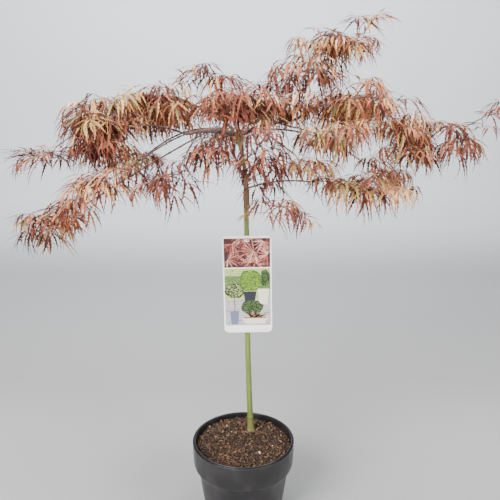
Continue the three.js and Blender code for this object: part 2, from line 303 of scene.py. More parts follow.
# Pot.
pot = {
    "segments": 144,
    "wall": 1.8 * mm,
    "floor": 2.2 * mm,
    "collar": 43 * mm,  # the straight band, from the rim down
    "shoulder": 15 * mm,  # from the band in to the body
    "inset": 10.5 * mm,  # of the body's top, from the rim's radius
    "footRadius": 71 * mm,
    "bodySteps": 9,
    "shoulderSteps": 11,
    "drainHoles": 6,
    "holeRing": 52 * mm,
    "holeRadius": 5 * mm,
    "holeSides": 24,
    "creaseAngle": math.radians(38),
}
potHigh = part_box("pot")[1]
potTop = potHigh.z
potRadius = potHigh.x
collarFoot = potTop - pot["collar"]
shoulderFoot = collarFoot - pot["shoulder"]
bodyRadius = potRadius - pot["inset"]


def potProfile():
    # radius and height, from the middle of the underside, up the outside and down the inside
    foot, wall = pot["footRadius"], pot["wall"]
    path = [(0, 0), (30 * mm, 0), (60 * mm, 0), (foot - 2.4 * mm, 0), (foot - 0.8 * mm, 0.4 * mm)]
    path += [(foot - 0.1 * mm, 1.4 * mm), (foot + 0.2 * mm, 3 * mm)]
    for step in range(1, pot["bodySteps"]):
        share = step / pot["bodySteps"]
        path.append((foot + share * (bodyRadius - foot), share * shoulderFoot))
    path.append((bodyRadius, shoulderFoot))
    for step in range(1, pot["shoulderSteps"] + 1):
        share = step / pot["shoulderSteps"]
        out = bodyRadius + (potRadius - 1.6 * mm - bodyRadius) * math.sin(share * math.pi / 2) ** 1.6
        path.append((out, shoulderFoot + share * (collarFoot - shoulderFoot)))
    path.append((potRadius - 1.3 * mm, collarFoot + 3 * mm))
    # up the band, over the bead and the lip, and down inside, in mm in from the rim's radius and down
    collar = (
        (0.9, 30), (0.5, 20), (0.4, 8), (0.3, 5), (0, 4.4), (0, 2.6), (0.3, 1.9), (0.9, 1.6), (1.5, 1.9),
        (1.8, 3.0), (2.7, 3.2), (3.1, 2.8), (3.3, 0.6), (3.7, 0), (4.9, 0), (5.3, 0.5), (5.6, 6), (5.8, 24),
    )
    path += [(potRadius - inward * mm, potTop - down * mm) for inward, down in collar]
    path += [(potRadius - 6.0 * mm, collarFoot + 2 * mm), (bodyRadius - wall, shoulderFoot)]
    path += [(foot - wall, pot["floor"] + 0.6 * mm), (foot - 5 * mm, pot["floor"]), (0, pot["floor"])]
    return path


def lathe(name, path, segments):
    # a profile turned about the Z axis, closed where it starts and ends on the axis
    vertices = [Vector((0, 0, path[0][1]))]
    for radius, height in path[1:-1]:
        vertices += circlePoints(radius, height, segments)
    vertices.append(Vector((0, 0, path[-1][1])))
    return meshPiece(name, vertices, skinFaces(len(path) - 2, segments))


def holeDrill(turn):
    centre = Matrix.Translation((pot["holeRing"] * math.cos(turn), pot["holeRing"] * math.sin(turn), 0))
    sizes = {"radius1": pot["holeRadius"], "radius2": pot["holeRadius"], "depth": 12 * mm}
    bm = bmesh.new()
    bmesh.ops.create_cone(bm, cap_ends=True, segments=pot["holeSides"], matrix=centre, **sizes)
    mesh = bpy.data.meshes.new("drill")
    bm.to_mesh(mesh)
    bm.free()
    return newPiece("drill", mesh)


potPiece = lathe("nursery_pot", potProfile(), pot["segments"])
drills = [holeDrill((i + 0.5) / pot["drainHoles"] * 2 * math.pi) for i in range(pot["drainHoles"])]
for drill in drills:
    cut = potPiece.modifiers.new("hole", "BOOLEAN")
    cut.operation = "DIFFERENCE"
    cut.solver = "EXACT"
    cut.object = drill
cutMesh = bpy.data.meshes.new_from_object(potPiece.evaluated_get(bpy.context.evaluated_depsgraph_get()))
potPiece.modifiers.clear()
potPiece.data = cutMesh
for drill in drills:
    bpy.data.objects.remove(drill)
potPiece.data.shade_smooth()
potPiece.data.set_sharp_from_angle(angle=pot["creaseAngle"])


def potPlastic():
    stops = tints((0.3, 20, 18, 19), (0.52, 28, 26, 27), (0.78, 46, 42, 42))
    clouds = (26, 5, 0.6)
    material, _ = patchyMaterial("potPlastic", (30, 29, 30), 0.45, clouds, stops, Specular_IOR_Level=0.42)
    tree = material.node_tree
    dust = noiseOn(tree, 60, 6, 0.65, (1, 1, 0.25))
    gloss = ramp(tree, dust, [(0.3, (0.27, 0.27, 0.27, 1)), (0.75, (0.54, 0.54, 0.54, 1))])
    fill(tree, tree.nodes["Principled BSDF"].inputs["Roughness"], gloss)
    bumpFrom(tree, noiseOn(tree, 900, 3, 0.5), 0.12, 0.0004)
    return material


potPiece.data.materials.clear()
potPiece.data.materials.append(potPlastic())
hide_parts("pot")
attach(potPiece, "root")
print("stage: pot", len(potPiece.data.polygons))

# Soil.
soil = {
    "rings": 46,
    "segments": 140,
    "gap": 6.3 * mm,  # between its edge and the rim's radius
    "deep": 24 * mm,
    "lumps": 2.6 * mm,
    "sink": 2.6 * mm,  # at its edge
    "chips": 4200,
    "specks": 2600,
    "chipShapes": 7,
    "seed": 11,
}
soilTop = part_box("soil")[1].z
soilRadius = potRadius - soil["gap"]


def soilHeight(x, y):
    # a few millimetres higher at the back, lower at the front and the right edge
    away = math.hypot(x, y) / soilRadius
    slope = 0.028 * y - 0.012 * x
    lumps = soil["lumps"] * noise.fractal(Vector((x * 38, y * 38, 4.2)), 0.6, 2.1, 4)
    return soilTop + 0.4 * mm + slope + lumps - soil["sink"] * away ** 6


soilFoot = soilTop - soil["deep"]
soilVertices = [Vector((0, 0, soilFoot)), *circlePoints(soilRadius, soilFoot, soil["segments"])]
for ring in range(soil["rings"], 0, -1):
    for point in circlePoints(soilRadius * ring / soil["rings"], 0, soil["segments"]):
        soilVertices.append(Vector((point.x, point.y, soilHeight(point.x, point.y))))
soilVertices.append(Vector((0, 0, soilHeight(0, 0))))
soilFaces = skinFaces(soil["rings"] + 1, soil["segments"])


def soilEarth():
    stops = tints((0.3, 20, 14, 10), (0.5, 42, 30, 20), (0.72, 76, 58, 40))
    material, crumbs = patchyMaterial("soilEarth", (66, 42, 26), 0.95, (420, 6, 0.7), stops)
    bumpFrom(material.node_tree, crumbs, 0.9, 0.0016)
    return material


soilPiece = meshPiece("potting_soil", soilVertices, soilFaces, soilEarth())
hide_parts("soil")
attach(soilPiece, "root")

# Chips of bark and coir: a few odd slivers, scattered over the soil and tinted by kind.
chipTints = {  # tint, and how often it comes up
    "chipDark": ((33, 21, 15), 32),
    "chipBrown": ((62, 41, 27), 34),
    "chipRusty": ((82, 54, 33), 22),
    "chipTan": ((110, 84, 54), 11),
    "chipPale": ((176, 160, 132), 0.35),
}
chipMaterials = [plainMaterial(name, color, 0.9) for name, (color, _) in chipTints.items()]
chipStock = bpy.data.collections.new("chipStock")
scene.collection.children.link(chipStock)
chance = random.Random(soil["seed"])
for i in range(soil["chipShapes"]):
    bm = bmesh.new()
    bmesh.ops.create_cube(bm, size=1)
    long, wide, thick = chance.uniform(0.8, 1.3), chance.uniform(0.3, 0.75), chance.uniform(0.14, 0.36)
    for vertex in bm.verts:
        pinch = 1 - 0.45 * chance.random()
        x = vertex.co.x * long * (1 - 0.25 * chance.random())
        vertex.co = Vector((x, vertex.co.y * wide * pinch, vertex.co.z * thick * pinch + 0.25 * x * x))
    chipMesh = bpy.data.meshes.new(f"chip{i}")
    bm.to_mesh(chipMesh)
    bm.free()
    chipStock.objects.link(bpy.data.objects.new(f"chip{i}", chipMesh))


def instanceTree(name, paints):
    # puts a shape from the collection on each point, then paints by what the points carry;
    # paints are (material, [(attribute, value), ...]), and a later one covers an earlier one
    tree, entry, leave = geometryTree(name, {"Shapes": ("NodeSocketCollection", None)})
    shapes = add(
        tree, "GeometryNodeCollectionInfo", Collection=entry.outputs["Shapes"],
        Separate_Children=True, Reset_Children=True,
    )

    def carried(label, kind):
        return add(tree, "GeometryNodeInputNamedAttribute", data_type=kind, Name=label).outputs["Attribute"]

    spread = add(
        tree, "GeometryNodeInstanceOnPoints", Points=entry.outputs["Geometry"],
        Instance=shapes.outputs["Instances"], Pick_Instance=True, Instance_Index=carried("shape", "INT"),
        Rotation=carried("turn", "FLOAT_VECTOR"), Scale=carried("size", "FLOAT_VECTOR"),
    )
    last = add(tree, "GeometryNodeRealizeInstances", Geometry=spread.outputs["Instances"]).outputs["Geometry"]
    known = {}
    for material, rules in paints:
        chosen = None
        for rule in rules:
            if rule not in known:
                same = add(tree, "FunctionNodeCompare", data_type="INT", operation="EQUAL")
                same.inputs[3].default_value = rule[1]
                tree.links.new(carried(rule[0], "INT"), same.inputs[2])
                known[rule] = same.outputs["Result"]
            if chosen is None:
                chosen = known[rule]
            else:
                chosen = worked(tree, "FunctionNodeBooleanMath", "AND", chosen, known[rule])
        paint = add(tree, "GeometryNodeSetMaterial", Geometry=last, Material=material, Selection=chosen)
        last = paint.outputs["Geometry"]
    fill(tree, leave.inputs["Geometry"], last)
    return tree


def pointCloud(name, places, turns, sizes, shapes, tints):
    # a mesh of loose points that carries how each instance lies
    mesh = bpy.data.meshes.new(name)
    mesh.from_pydata([tuple(place) for place in places], [], [])
    for label, values in (("turn", turns), ("size", sizes)):
        attribute = mesh.attributes.new(label, "FLOAT_VECTOR", "POINT")
        attribute.data.foreach_set("vector", [part for value in values for part in value])
    for label, values in (("shape", shapes), ("tint", tints)):
        mesh.attributes.new(label, "INT", "POINT").data.foreach_set("value", values)
    return newPiece(name, mesh)


carried = ("places", "turns", "sizes", "shapes", "tints")
cast = {kind: [] for kind in carried}
chipShares = [share for _, share in chipTints.values()]
for i in range(soil["chips"] + soil["specks"]):
    radius = soilRadius * 0.985 * math.sqrt(chance.random())
    angle = chance.uniform(0, 2 * math.pi)
    x, y = radius * math.cos(angle), radius * math.sin(angle)
    if i < soil["chips"]:
        length = chance.uniform(1.6, 5.2) * mm * chance.choice((0.7, 1, 1, 1.4))
    else:
        length = chance.uniform(0.8, 1.8) * mm
    cast["places"].append((x, y, soilHeight(x, y) + 0.25 * length + chance.uniform(0, 1.6) * mm))
    roll, pitch, yaw = chance.uniform(-0.7, 0.7), chance.uniform(-0.5, 0.5), chance.uniform(0, 2 * math.pi)
    cast["turns"].append((roll, pitch, yaw))
    cast["sizes"].append((length, length * chance.uniform(0.6, 1.1), length * chance.uniform(0.7, 1.3)))
    cast["shapes"].append(chance.randrange(soil["chipShapes"]))
    cast["tints"].append(chance.choices(range(len(chipTints)), chipShares)[0])
chipPaints = [(material, [("tint", k)]) for k, material in enumerate(chipMaterials)]
chipPoints = pointCloud("chipPoints", **cast)
chips = grown("soil_chips", chipPoints, instanceTree("chipScatter", chipPaints), {"Shapes": chipStock})
chips.data.shade_flat()
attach(chips, "root")
print("stage: soil", len(chips.data.polygons))

# Wood: paths read from the CAD limbs.
wood = {
    "joinGap": 3.4 * mm,  # a longer step away from the start begins a new ring
    "ringPoints": 4,  # the fewest that make a ring
    "spacing": 4 * mm,
    "thickest": 4 * mm,  # of a bough
    "budRing": 2.2 * mm,  # how wide each swelling is along the wood
    "seed": 8,
}


def uniquePoints(name):
    points = np.array([vertex.co[:] for vertex in nodes[name].data.vertices])
    return np.unique(points.round(6), axis=0)


def limbPath(name, start):
    # the middles and radii of a CAD limb's rings, in order from start
    points = uniquePoints(name)
    away = np.linalg.norm(points - np.array(start), axis=1)
    order = np.argsort(away)
    breaks = np.where(np.diff(away[order]) > wood["joinGap"])[0] + 1
    rings = [points[group] for group in np.split(order, breaks) if len(group) >= wood["ringPoints"]]
    middles = [ring.mean(0) for ring in rings]
    radii = []
    for i, ring in enumerate(rings):
        along = middles[min(i + 1, len(rings) - 1)] - middles[max(i - 1, 0)]
        along /= np.linalg.norm(along)
        out = ring - middles[i]
        out -= np.outer(out @ along, along)
        radii.append(float(np.median(np.linalg.norm(out, axis=1))))
    return [Vector(middle) for middle in middles], radii


def smoothPath(points, radii, spacing):
    # a Catmull-Rom curve through the points, at even steps
    ends = [points[0] * 2 - points[1], *points, points[-1] * 2 - points[-2]]
    places, sizes = [], []
    for i in range(len(points) - 1):
        a, b, c, d = ends[i : i + 4]
        steps = max(1, round((c - b).length / spacing))
        for step in range(steps):
            t = step / steps
            square = (2 * a - 5 * b + 4 * c - d) * t * t
            cube = (3 * b - a - 3 * c + d) * t ** 3
            places.append(0.5 * (2 * b + (c - a) * t + square + cube))
            sizes.append(radii[i] * (1 - t) + radii[i + 1] * t)
    places.append(points[-1])
    sizes.append(radii[-1])
    return places, sizes


stemLow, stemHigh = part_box("stem")
stemPoints, stemRadii = limbPath("stem", Vector((14 * mm, 40 * mm, stemLow.z - 20 * mm)))
head = stemPoints[-1]
limbs = {}
for name in ("limb_left", "limb_right"):
    middles, radii = limbPath(name, head)
    limbs[name] = smoothPath([head, *middles], [radii[0], *radii], wood["spacing"])
stem = smoothPath(stemPoints, stemRadii, wood["spacing"])
trunks = [stem, *limbs.values()]


def rootOn(point):
    # where a bough leaves the wood that it grows from
    return min((place for path in trunks for place in path[0]), key=lambda place: (place - point).length)


boughs = {}
growsOnMass = {  # the boughs that grow on from a mass
    "bough_left_tip": "leaves_left_outer",
    "bough_right_tip": "leaves_right_outer",
}
for name in sorted(n for n in nodes if n.startswith("bough_")):
    nearEnd = min((Vector(p) for p in uniquePoints(name)), key=lambda p: (p - head).length)
    if name in growsOnMass:
        boughs[name] = smoothPath(*limbPath(name, nearEnd), wood["spacing"])
        continue
    start = rootOn(nearEnd)
    middles, radii = limbPath(name, start)
    boughs[name] = smoothPath([start, *middles], [radii[0], *radii], wood["spacing"])
print("stage: wood paths", len(boughs), [round(v, 4) for v in head])

# Crown: a seeded branching rule that fills each mass with shoots.
crown = {
    "seed": 8,
    "hubSpacing": 26.2 * mm,  # between the places that carry leaves
    "pairSpacing": 24.8 * mm,  # between pairs of leaves along a shoot
    "tries": 2000,
    "leafLength": 78 * mm,
    "smallLeaf": 0.84,  # on the young shoots and the smallest masses
    "petiole": 17 * mm,
    "skin": 6 * mm,  # between a leafy place and its mass's surface
    "hang": 32 * mm,  # how far leaves reach below their place
    "overhang": 8 * mm,  # past the mass's surface
    "shootStep": 5 * mm,
    "nearest": 12,  # how many joints of its neighbour a mass without a bough may grow from
}
grow = random.Random(crown["seed"])
growsFrom = {  # the masses without a bough of their own
    "leaves_middle_right": "limb_right",
    "leaves_front_low_tip": "leaves_front_hanging",
    "leaves_top_right": "leaves_upper_right",
    "leaves_top_tip": "leaves_top_right",
    "leaves_right_shoulder": "leaves_right_arch",
    "leaves_right_outer": "leaves_right_shoulder",
    "leaves_back_outer_left": "leaves_back_left",
    "leaves_back_outer_right": "leaves_back_right",
    "leaves_back_low": "leaves_back_right",
}
smallLeaved = {
    "leaves_front_low_tip": 0.66, "leaves_left_hanging": 0.9, "leaves_right_tip": 0.7,
    "leaves_left_tip": 0.9, "leaves_upper_left": 0.84, "leaves_top_right": 0.88,
}
youngMasses = {"leaves_top_tip", "leaves_right_tip", "leaves_left_tip"}


def regionOf(mass):
    word = mass.replace("leaves_", "")
    if word.startswith("back"):
        return "back"
    if word.startswith(("left", "inner_left", "upper_left")):
        return "left"
    if word.startswith(("right", "top", "upper_right")):
        return "right"
    return "middle"


class Mass:
    def __init__(self, name):
        self.name = name
        bm = bmesh.new()
        bm.from_mesh(nodes[name].data)
        bmesh.ops.remove_doubles(bm, verts=list(bm.verts), dist=1e-6)
        self.tree = BVHTree.FromBMesh(bm)
        bm.free()
        self.low, self.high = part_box(name)
        self.middle = (self.low + self.high) / 2

    def depth(self, point):
        # how far inside the mass a point lies, negative outside
        place, normal, _, distance = self.tree.find_nearest(point)
        return distance if (point - place).dot(normal) < 0 else -distance


def arc(start, startDirection, end, sag):
    # a shoot from start to end, leaving along startDirection
    reach = (end - start).length
    bend = start + startDirection * reach * 0.45 + up * sag * reach
    steps = max(3, round(reach / crown["shootStep"]))
    shares = [i / steps for i in range(steps + 1)]
    return [start * (1 - t) ** 2 + bend * 2 * t * (1 - t) + end * t * t for t in shares]


shoots = []  # each: its points, its parent shoot, how many shoots it bears with itself, its mass
leafyPlaces = []  # each: place, direction, mass


def addShoot(points, parent, mass):
    shoots.append({"points": points, "parent": parent, "load": 0, "mass": mass})
    index = len(shoots) - 1
    while index is not None:
        shoots[index]["load"] += 1
        index = shoots[index]["parent"]
    return len(shoots) - 1


def shootCost(hub, joint):
    # least for a short shoot that goes on the way its wood runs
    line = hub - joint[0]
    return line.length * (1.55 - 0.6 * line.normalized().dot(joint[1]))


def fillMass(mass, joints):
    # joints are (place, direction, shoot index or None) that a new shoot may leave from
    hubs = []
    hang = min(crown["hang"], 0.4 * (mass.high.z - mass.low.z))
    for _ in range(crown["tries"]):
        place = Vector((grow.uniform(mass.low[i], mass.high[i]) for i in range(3)))
        if mass.depth(place) < crown["skin"] or mass.depth(place - up * hang) < 0:
            continue
        if all((place - hub).length >= crown["hubSpacing"] for hub in hubs):
            hubs.append(place)
    if not hubs:
        hubs = [mass.middle]
    entry = min((joint[0] for joint in joints), key=lambda p: (p - mass.middle).length)
    hubs.sort(key=lambda hub: (hub - entry).length)
    for hub in hubs:
        place, direction, parent = min(joints, key=lambda joint: shootCost(hub, joint))
        line = (hub - place).normalized()
        leaveBy = (direction * 0.55 + line * 0.6 + up * 0.15).normalized()
        points = arc(place, leaveBy, hub, 0.10)
        index = addShoot(points, parent, mass.name)
        last = (points[-1] - points[-2]).normalized()
        for i in range(1, len(points)):
            joints.append((points[i], (points[i] - points[i - 1]).normalized(), index))
        leafyPlaces.append((hub, last, mass))
        along = crown["pairSpacing"] * grow.uniform(0.8, 1.2)
        for i in range(len(points) - 2, 0, -1):
            along -= (points[i + 1] - points[i]).length
            if along < 0 and mass.depth(points[i]) > 0:
                leafyPlaces.append((points[i], (points[i + 1] - points[i]).normalized(), mass))
                along = crown["pairSpacing"] * grow.uniform(0.8, 1.2)
    return joints


massNames = sorted(n for n in nodes if n.startswith("leaves_"))
masses = {name: Mass(name) for name in massNames}
jointsOf = {}


def jointsAlong(path, fromShare):
    points = path[0]
    first = max(1, int(len(points) * fromShare))
    return [(points[i], (points[i] - points[i - 1]).normalized(), None) for i in range(first, len(points))]


def startJoints(name):
    # where a mass's first shoots may leave from, or None while the mass that it grows on is bare
    bough = name.replace("leaves_", "bough_")
    source = growsOnMass.get(bough) or growsFrom.get(name)
    if source in masses and source not in jointsOf:
        return None
    if bough in growsOnMass:
        foot = boughs[bough][0][0]
        place, direction, parent = min(jointsOf[source], key=lambda joint: (joint[0] - foot).length)
        addShoot(arc(place, direction, foot, 0.02), parent, source)
    if bough in boughs:
        return jointsAlong(boughs[bough], 0.92)
    if source in masses:
        target = masses[name].middle
        return sorted(jointsOf[source], key=lambda joint: (joint[0] - target).length)[:crown["nearest"]]
    return jointsAlong(limbs[source], 0.3)


waiting = list(massNames)
while waiting:
    for name in list(waiting):
        joints = startJoints(name)
        if joints is not None:
            jointsOf[name] = fillMass(masses[name], joints)
            waiting.remove(name)
print("stage: crown", len(shoots), "shoots", len(leafyPlaces), "leafy places")

# Leaves: each is a fan of cut lobes on a thin stalk, laid out as points for the instancing tree.
lobe = {  # measures are shares of the lobe's length
    "teeth": 7,
    "halfWidth": 0.0305,
    "stalkShare": 0.17,
    "widenShare": 0.24,  # from the stalk to full width
    "narrowFrom": 0.42,
    "tipShare": 0.74,  # the darker tip begins here
    "toothAhead": 0.032,
    "toothWidth": 1.3,
    "notchWidth": 0.62,
    "fold": 0.55,
    "bends": (0.35, 0.85, 1.25, 1.6, 1.95),
    "sway": (-0.13, 0.04, 0.15),  # how far each outline's tip swings aside
    "seed": 3,
}
leafTints = {
    "leafMaroon": (60, 25, 19), "leafWine": (92, 43, 33), "leafRust": (130, 70, 48),
    "leafBrick": (160, 98, 69), "leafCopper": (182, 129, 80), "leafAmber": (202, 157, 100),
    "leafOlive": (146, 130, 80), "leafRose": (220, 174, 152),
}
stalkTints = {"stalkBrown": (132, 80, 60), "stalkPale": (204, 178, 124)}
# for each leaf tint: the two that a stray lobe may take, the one at its tips, and its stalk's
tintAround = ((1, 1), (0, 2), (1, 3), (2, 4), (3, 6), (4, 6), (5, 4), (3, 5))
darkerTint = (0, 0, 1, 2, 2, 4, 4, 3)
stalkTint = (0, 0, 0, 1, 1, 1, 1, 0)
leafMaterials, stalkMaterials = (
    [plainMaterial(name, color, 0.6, Specular_IOR_Level=0.25) for name, color in group.items()]
    for group in (leafTints, stalkTints)
)
tintMoods = {  # how often each tint comes up, in the order of leafTints; the deep mood's dark maroon and wine are painted shade
    "deep": (5, 6, 4, 1.5, 0, 0, 0, 0.3),
    "rust": (2.2, 4.4, 5.6, 4.6, 2.6, 0.9, 1.3, 0.9),
    "warm": (1.5, 3.2, 5, 4.8, 3.8, 1.7, 1.7, 1),
}
moodMasses = {  # the others are rust; the deep ones, hanging and inside the crown, get painted shade
    "deep": ("left_hanging", "inner_left", "front_hanging", "back_hanging"),
    "warm": (
        "top_right", "top_tip", "upper_right", "right_arch", "right_shoulder", "right_outer", "right_inner",
        "right_low", "back_right",
    ),
}
moodOf = {f"leaves_{mass}": mood for mood, members in moodMasses.items() for mass in members}


def lobeMesh(name, bend, outline, dice):
    # a toothed blade along +X that bends down, one unit long, folded along its midrib;
    # its faces carry their zone: 0 the stalk, 1 the blade, 2 the tip
    stations = 2 * lobe["teeth"] + 4
    vertices, faces, zones = [], [], []
    x = z = 0.0
    for i in range(stations):
        t = i / (stations - 1)
        angle = -bend * t ** 0.85 + 0.07 * math.sin(6 * t + 2 * outline)
        if i:
            x += math.cos(angle) / (stations - 1)
            z += math.sin(angle) / (stations - 1)
        widen = min(1.0, max(0.0, (t - lobe["stalkShare"]) / lobe["widenShare"]))
        taper = 1 - max(0.0, (t - lobe["narrowFrom"]) / (1 - lobe["narrowFrom"])) ** 1.15
        blade = t > lobe["stalkShare"]
        tooth = i % 2 and blade
        width = lobe["halfWidth"] * max(0.13, widen * taper) * (0.15 if i == stations - 1 else 1)
        if blade:
            width *= lobe["toothWidth" if tooth else "notchWidth"] * dice.uniform(0.88, 1.12)
        ahead = lobe["toothAhead"] if tooth else 0
        nose = Vector((math.cos(angle) * ahead, 0, math.sin(angle) * ahead))
        lift = Vector((-math.sin(angle), 0, math.cos(angle))) * width * lobe["fold"]
        middle = Vector((x, lobe["sway"][outline] * t * t, z))
        uneven = dice.uniform(0.9, 1.1)
        vertices.append(middle + nose + lift + Vector((0, -width * uneven, 0)))
        vertices.append(middle)
        vertices.append(middle + nose + lift + Vector((0, width / uneven, 0)))
    for i in range(stations - 1):
        a = 3 * i
        faces.append((a, a + 3, a + 4, a + 1))
        faces.append((a + 1, a + 4, a + 5, a + 2))
        t = (i + 0.5) / (stations - 1)
        zones += [0 if t < lobe["stalkShare"] else 2 if t > lobe["tipShare"] else 1] * 2
    mesh = bpy.data.meshes.new(name)
    mesh.from_pydata([tuple(v) for v in vertices], [], faces)
    mark = mesh.attributes.new("zone", "INT", "FACE")
    mark.data.foreach_set("value", zones)
    return bpy.data.objects.new(name, mesh)


lobeStock = bpy.data.collections.new("lobeStock")
scene.collection.children.link(lobeStock)
dice = random.Random(lobe["seed"])
for level, bend in enumerate(lobe["bends"]):
    for outline in range(len(lobe["sway"])):
        lobeStock.objects.link(lobeMesh(f"lobe_{level}_{outline}", bend, outline, dice))

leafPaints = [(material, [("tint", k)]) for k, material in enumerate(leafMaterials)]
leafPaints += [(leafMaterials[darkerTint[k]], [("tint", k), ("zone", 2)]) for k in range(len(leafMaterials))]
leafPaints += [(stalkMaterials[stalkTint[k]], [("tint", k), ("zone", 0)]) for k in range(len(leafMaterials))]

fans = {  # by the number of lobes: the angle and length share of each
    9: (
        (0, 1.0), (24, 0.98), (-24, 0.98), (50, 0.9), (-50, 0.9), (80, 0.74), (-80, 0.74),
        (118, 0.5), (-118, 0.5),
    ),
    7: ((0, 1.0), (30, 0.97), (-30, 0.97), (64, 0.84), (-64, 0.84), (104, 0.58), (-104, 0.58)),
    5: ((0, 1.0), (34, 0.92), (-34, 0.92), (76, 0.66), (-76, 0.66)),
}
fanShares = (3, 5, 2)  # how often each comes up
regionSlots = {"left": "leaves_rust", "middle": "leaves_wine", "right": "leaves_tan", "back": "leaves_rust"}
sprays = {region: {kind: [] for kind in carried} for region in regionSlots}
stalkPaths = {region: [] for region in regionSlots}


def turnOf(along, lift):
    # the Euler turn that lays +X along the lobe and +Z as near lift as it goes
    side = lift.cross(along)
    if side.length < 1e-4:
        side = Vector((0, 1, 0)).cross(along)
    side.normalize()
    top = along.cross(side)
    return Matrix((along, side, top)).transposed().to_euler("XYZ")


def addLeaf(place, direction, mass, young, tint, dice, size):
    region = regionOf(mass.name)
    spray = sprays[region]
    petiole = crown["petiole"] * dice.uniform(0.6, 1.3)
    hub = place + direction * petiole
    sagged = place + direction * petiole * 0.5 + up * 0.12 * petiole
    stalkPaths[region].append([place, sagged, hub])
    flat = Vector((direction.x, direction.y, 0))
    if flat.length < 0.05:
        flat = Vector((dice.uniform(-1, 1), dice.uniform(-1, 1), 0))
    flat.normalize()
    tip = dice.uniform(-0.05, 0.4) if young else dice.uniform(0.05, 0.6)
    stray = Vector((dice.uniform(-0.32, 0.32), dice.uniform(-0.32, 0.32), 0))
    normal = (up + flat * tip + stray).normalized()
    ahead = (flat - normal * flat.dot(normal)).normalized()
    lobes = dice.choices(list(fans.values()), fanShares)[0]
    droopLevel = dice.choice((0, 0, 1, 1)) if young else dice.choices((1, 2, 3, 4), (2, 4, 4, 1.5))[0]
    rise = dice.uniform(0.05, 0.3) if young else dice.uniform(0.0, 0.4)
    length = crown["leafLength"] * size * dice.uniform(0.82, 1.15)
    for angle, share in lobes:
        angle = math.radians(angle + dice.uniform(-12, 12))
        along = Quaternion(normal, angle) @ ahead
        along = (along + normal * (rise + dice.uniform(-0.22, 0.22))).normalized()
        lobeLength = length * share * dice.uniform(0.88, 1.1)
        level = min(len(lobe["bends"]) - 1, max(0, droopLevel + dice.choice((-1, 0, 0, 0, 1))))
        # a lobe whose tip would leave its mass is shortened
        reach = hub + along * lobeLength * 0.7 - up * lobeLength * 0.12 * level
        out = -mass.depth(reach)
        if out > crown["overhang"]:
            lobeLength *= max(0.55, 1 - (out - crown["overhang"]) / lobeLength)
        spray["places"].append(hub)
        spray["turns"].append(turnOf(along, (up + normal * 0.6).normalized()))
        width = crown["leafLength"] * dice.uniform(0.8, 1.15) * (0.5 + 0.5 * size)
        spray["sizes"].append((lobeLength, width, lobeLength))
        spray["shapes"].append(level * len(lobe["sway"]) + dice.randrange(len(lobe["sway"])))
        other = tintAround[tint][dice.randrange(2)]
        spray["tints"].append(other if dice.random() < 0.3 else tint)


dice = random.Random(21)
for place, direction, mass in leafyPlaces:
    young = mass.name in youngMasses
    mood = tintMoods[moodOf.get(mass.name, "rust")]
    tint = dice.choices(range(len(leafTints)), mood)[0]
    leafSize = smallLeaved.get(mass.name, crown["smallLeaf"] if young else 1)
    side = direction.cross(up)
    if side.length < 0.2:
        side = Vector((dice.uniform(-1, 1), dice.uniform(-1, 1), 0))
    side.normalize()
    side = Quaternion(up, dice.uniform(-0.5, 0.5)) @ side
    for way in (-1, 1):
        leaveBy = (side * way * 0.85 + direction * 0.5 + up * dice.uniform(0.15, 0.55)).normalized()
        near = tint if dice.random() < 0.7 else dice.choices(range(len(leafTints)), mood)[0]
        addLeaf(place, leaveBy, mass, young, near, dice, leafSize)
    if dice.random() < 0.45:
        leaveBy = (direction + up * dice.uniform(0.0, 0.4)).normalized()
        addLeaf(place, leaveBy, mass, young, tint, dice, 0.8 * leafSize)
print("stage: leaves laid out", sum(len(paths) for paths in stalkPaths.values()))

for region, spray in sprays.items():
    cloud = pointCloud(f"leafPoints_{region}", **spray)
    piece = grown(f"foliage_{region}", cloud, instanceTree("leafSpray", leafPaints), {"Shapes": lobeStock})
    piece.data.shade_flat()
    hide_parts(*[name for name in massNames if regionOf(name) == region])
    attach(piece, "root")
    print("stage: leaves", region, sum(len(p.vertices) - 2 for p in piece.data.polygons), "triangles")
for stock in (lobeStock, chipStock):
    for obj in list(stock.objects):
        bpy.data.objects.remove(obj)
    bpy.data.collections.remove(stock)


# Twigs: thin shoots and leaf stalks, swept by a tree.
def sweepTree(name):
    sizes = {
        "Sides": ("NodeSocketInt", 5),
        "Bark": ("NodeSocketMaterial", None),
        "Relief": ("NodeSocketFloat", 0.0),
        "Grain": ("NodeSocketFloat", 900.0),
    }
    tree, entry, leave = geometryTree(name, sizes)
    given = entry.outputs
    ring = add(tree, "GeometryNodeCurvePrimitiveCircle", Radius=1.0, Resolution=given["Sides"])
    sweep = add(
        tree, "GeometryNodeCurveToMesh", Curve=given["Geometry"], Profile_Curve=ring.outputs["Curve"],
        Scale=add(tree, "GeometryNodeInputRadius").outputs["Radius"], Fill_Caps=True,
    )
    # bark relief: each vertex moves along its normal by a streaky noise
    position = add(tree, "GeometryNodeInputPosition").outputs["Position"]
    streak = worked(tree, "ShaderNodeVectorMath", "MULTIPLY", position, (1, 1, 0.35))
    grain = add(tree, "ShaderNodeTexNoise", Vector=streak, Scale=given["Grain"], Detail=3.0)
    centred = worked(tree, "ShaderNodeMath", "SUBTRACT", grain.outputs["Fac"], 0.5)
    depth = worked(tree, "ShaderNodeMath", "MULTIPLY", centred, given["Relief"])
    push = add(tree, "ShaderNodeVectorMath", operation="SCALE", Scale=depth)
    fill(tree, push.inputs[0], add(tree, "GeometryNodeInputNormal").outputs["Normal"])
    move = add(tree, "GeometryNodeSetPosition", Geometry=sweep.outputs["Mesh"], Offset=push.outputs["Vector"])
    real = add(tree, "GeometryNodeRealizeInstances", Geometry=move.outputs["Geometry"])
    paint = add(tree, "GeometryNodeSetMaterial", Geometry=real.outputs["Geometry"], Material=given["Bark"])
    fill(tree, leave.inputs["Geometry"], paint.outputs["Geometry"])
    return tree


